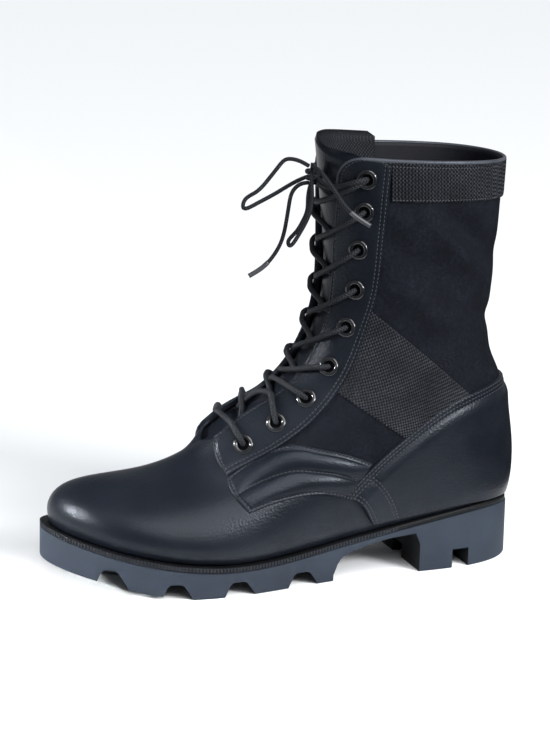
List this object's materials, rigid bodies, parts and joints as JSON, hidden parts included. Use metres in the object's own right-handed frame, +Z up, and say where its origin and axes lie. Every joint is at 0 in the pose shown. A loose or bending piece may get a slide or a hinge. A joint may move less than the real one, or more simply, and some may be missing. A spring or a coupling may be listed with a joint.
{
  "type": "military boot",
  "caption": "Black lace-up military jungle boot for the left foot, with leather vamp, canvas shaft, webbing ankle strap and lugged rubber sole.",
  "frame": {"origin": "centre of the footprint of the boot, on the floor", "axes": "toe to -X, lateral (outer) side of the left boot to -Y, +Z up"},
  "size_m": [0.3022, 0.1054, 0.2682],
  "materials": {
    "rubber": "matte moulded rubber",
    "leather": "satin smooth leather",
    "canvas": "matte heavy canvas",
    "webbing": "ribbed nylon webbing",
    "insole": "felted footbed",
    "enamel": "gloss enamel",
    "cord": "round braided cord"
  },
  "bodies": {
    "root": {"ankle_strap_lateral": "webbing", "ankle_strap_medial": "webbing", "collar_tape": "webbing", "counter": "leather", "eyelet_lateral_1": "enamel", "eyelet_lateral_2": "enamel", "eyelet_lateral_3": "enamel", "eyelet_lateral_4": "enamel", "eyelet_lateral_5": "enamel", "eyelet_lateral_6": "enamel", "eyelet_lateral_7": "enamel", "eyelet_lateral_8": "enamel", "eyelet_lateral_9": "enamel", "eyelet_medial_1": "enamel", "eyelet_medial_2": "enamel", "eyelet_medial_3": "enamel", "eyelet_medial_4": "enamel", "eyelet_medial_5": "enamel", "eyelet_medial_6": "enamel", "eyelet_medial_7": "enamel", "eyelet_medial_8": "enamel", "eyelet_medial_9": "enamel", "eyestay_lateral": "leather", "eyestay_medial": "leather", "insole": "insole", "lace_crossings": "cord", "lace_end_front": "cord", "lace_end_side": "cord", "lace_knot": "cord", "lace_loop_long": "cord", "lace_loop_short": "cord", "outsole": "rubber", "saddle_lateral": "leather", "saddle_medial": "leather", "tongue": "leather", "upper": "canvas", "welt": "rubber"}
  },
  "joints": []
}
